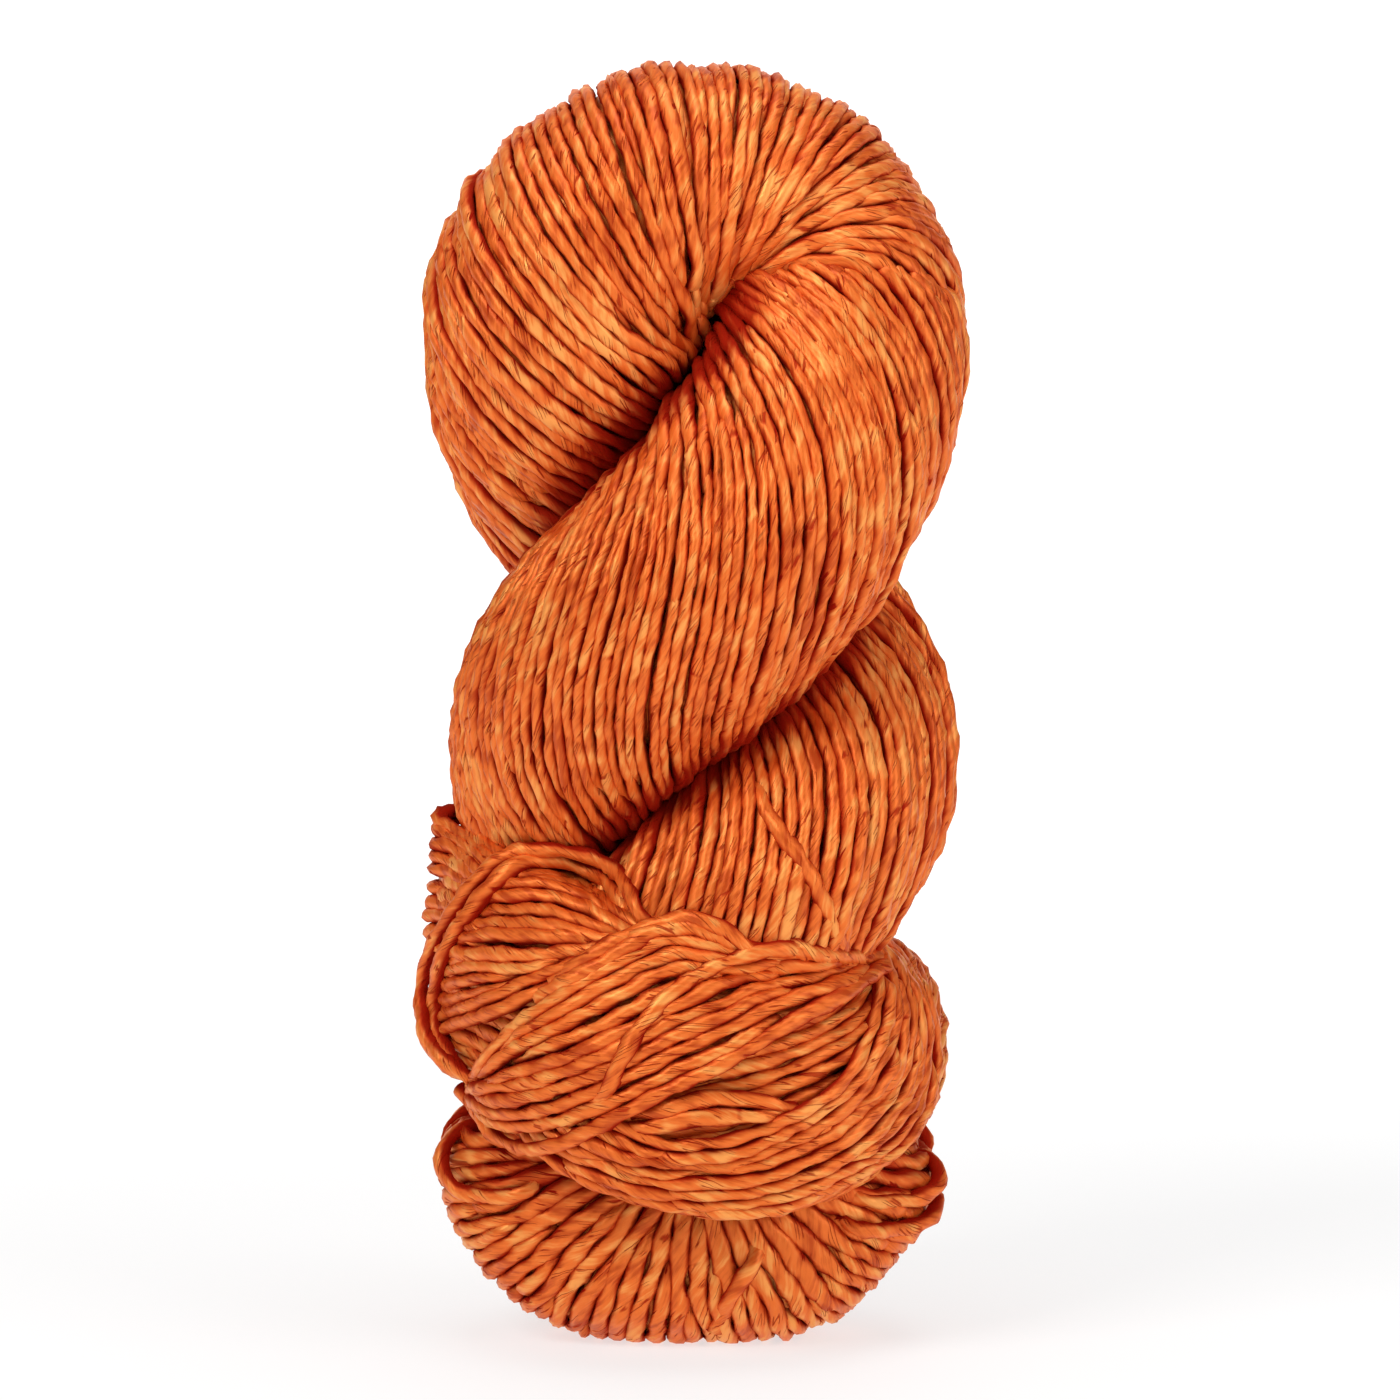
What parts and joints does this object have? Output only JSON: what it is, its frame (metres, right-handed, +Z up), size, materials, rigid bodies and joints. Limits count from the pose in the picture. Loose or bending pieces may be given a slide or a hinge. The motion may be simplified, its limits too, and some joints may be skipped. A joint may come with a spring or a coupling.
{
  "type": "skein of silk yarn",
  "caption": "Twisted hank of silk yarn: two plies wound round each other under a round head, one loop end lying round the neck as a band and the other spread below it as a fan.",
  "frame": {"origin": "on the ground under the middle of the skein, which stands on its fanned end", "axes": "+Z up along the skein, from the fan to the head; the front, with the band's crossing strands, faces -Y; +X is to the right of the front"},
  "size_m": [0.0902, 0.0876, 0.2135],
  "materials": {
    "silk_yarn": "glossy hand-dyed silk yarn, burnt orange, deeper red in the creases"
  },
  "bodies": {
    "root": {"hank": "silk_yarn"}
  },
  "joints": []
}
